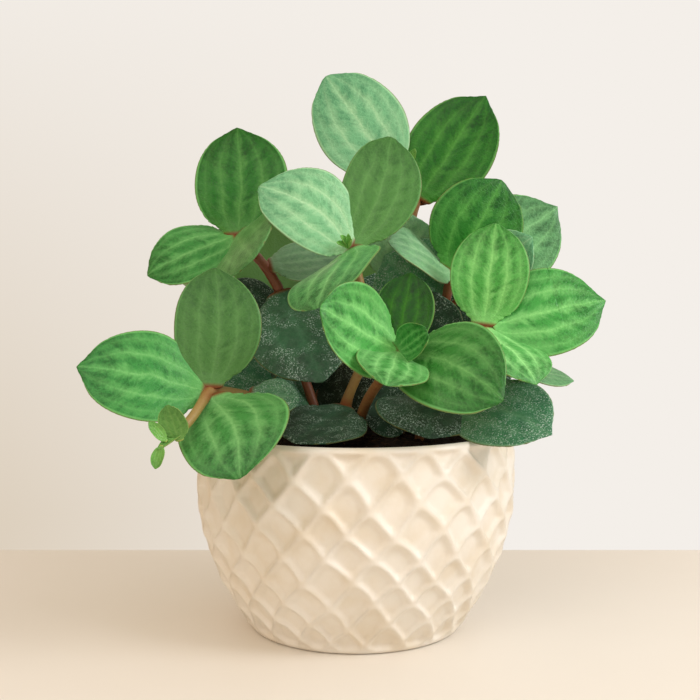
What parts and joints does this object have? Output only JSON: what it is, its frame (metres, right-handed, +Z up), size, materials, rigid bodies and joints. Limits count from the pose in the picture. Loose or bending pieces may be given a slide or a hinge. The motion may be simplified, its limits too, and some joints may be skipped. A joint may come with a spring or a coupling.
{
  "type": "potted peperomia plant",
  "caption": "Bushy peperomia with round fleshy leaves on bare arching stems, growing from soil in a rounded ceramic bowl with a raised scale-like net.",
  "frame": {"origin": "centre of the pot's flat foot, on the surface it stands on", "axes": "+Z up; -Y towards the front of the plant, the side that the leaves face; +X to the right seen from the front"},
  "size_m": [0.18, 0.1661, 0.2123],
  "materials": {
    "ceramic": "matt glazed, cream",
    "soil": "moist dark potting soil",
    "stem": "smooth red-brown to olive stem",
    "leaf_fresh": "satin fleshy leaf",
    "leaf_pale": "glossy pale young leaf",
    "leaf_shaded": "satin darker leaf",
    "leaf_old": "old leaf with white mineral specks",
    "leaf_grey": "dusty grey-green leaf"
  },
  "bodies": {
    "root": {"pot": "ceramic", "soil": "soil", "stem_back": "stem", "stem_back_left": "stem", "stem_back_right": "stem", "stem_centre": "stem", "stem_front": "stem", "stem_left_high": "stem", "stem_left_low": "stem", "stem_right": "stem", "stem_right_high": "stem", "stem_top": "stem", "tip_leaves_centre": "leaf_pale", "tip_leaves_left_low": "leaf_pale", "tip_leaves_top": "leaf_pale", "leaf_back_1": "leaf_fresh", "leaf_back_2": "leaf_fresh", "leaf_back_3": "leaf_shaded", "leaf_back_4": "leaf_old", "leaf_back_left_1": "leaf_fresh", "leaf_back_left_2": "leaf_fresh", "leaf_back_left_3": "leaf_shaded", "leaf_back_right_1": "leaf_fresh", "leaf_back_right_2": "leaf_fresh", "leaf_back_right_3": "leaf_shaded", "leaf_back_right_4": "leaf_old", "leaf_centre_1": "leaf_pale", "leaf_centre_2": "leaf_shaded", "leaf_centre_3": "leaf_fresh", "leaf_centre_4": "leaf_old", "leaf_front_1": "leaf_fresh", "leaf_front_2": "leaf_shaded", "leaf_front_3": "leaf_fresh", "leaf_front_4": "leaf_fresh", "leaf_front_5": "leaf_fresh", "leaf_left_high_1": "leaf_fresh", "leaf_left_high_2": "leaf_fresh", "leaf_left_high_3": "leaf_grey", "leaf_left_high_4": "leaf_old", "leaf_left_high_5": "leaf_grey", "leaf_left_high_6": "leaf_old", "leaf_left_low_1": "leaf_fresh", "leaf_left_low_2": "leaf_shaded", "leaf_left_low_3": "leaf_fresh", "leaf_left_low_4": "leaf_old", "leaf_right_1": "leaf_fresh", "leaf_right_2": "leaf_fresh", "leaf_right_3": "leaf_fresh", "leaf_right_4": "leaf_grey", "leaf_right_5": "leaf_old", "leaf_right_6": "leaf_old", "leaf_right_high_1": "leaf_shaded", "leaf_right_high_2": "leaf_grey", "leaf_right_high_3": "leaf_fresh", "leaf_right_high_4": "leaf_pale", "leaf_right_high_5": "leaf_old", "leaf_top_1": "leaf_pale", "leaf_top_2": "leaf_shaded", "leaf_top_3": "leaf_fresh", "leaf_top_4": "leaf_grey"}
  },
  "joints": []
}
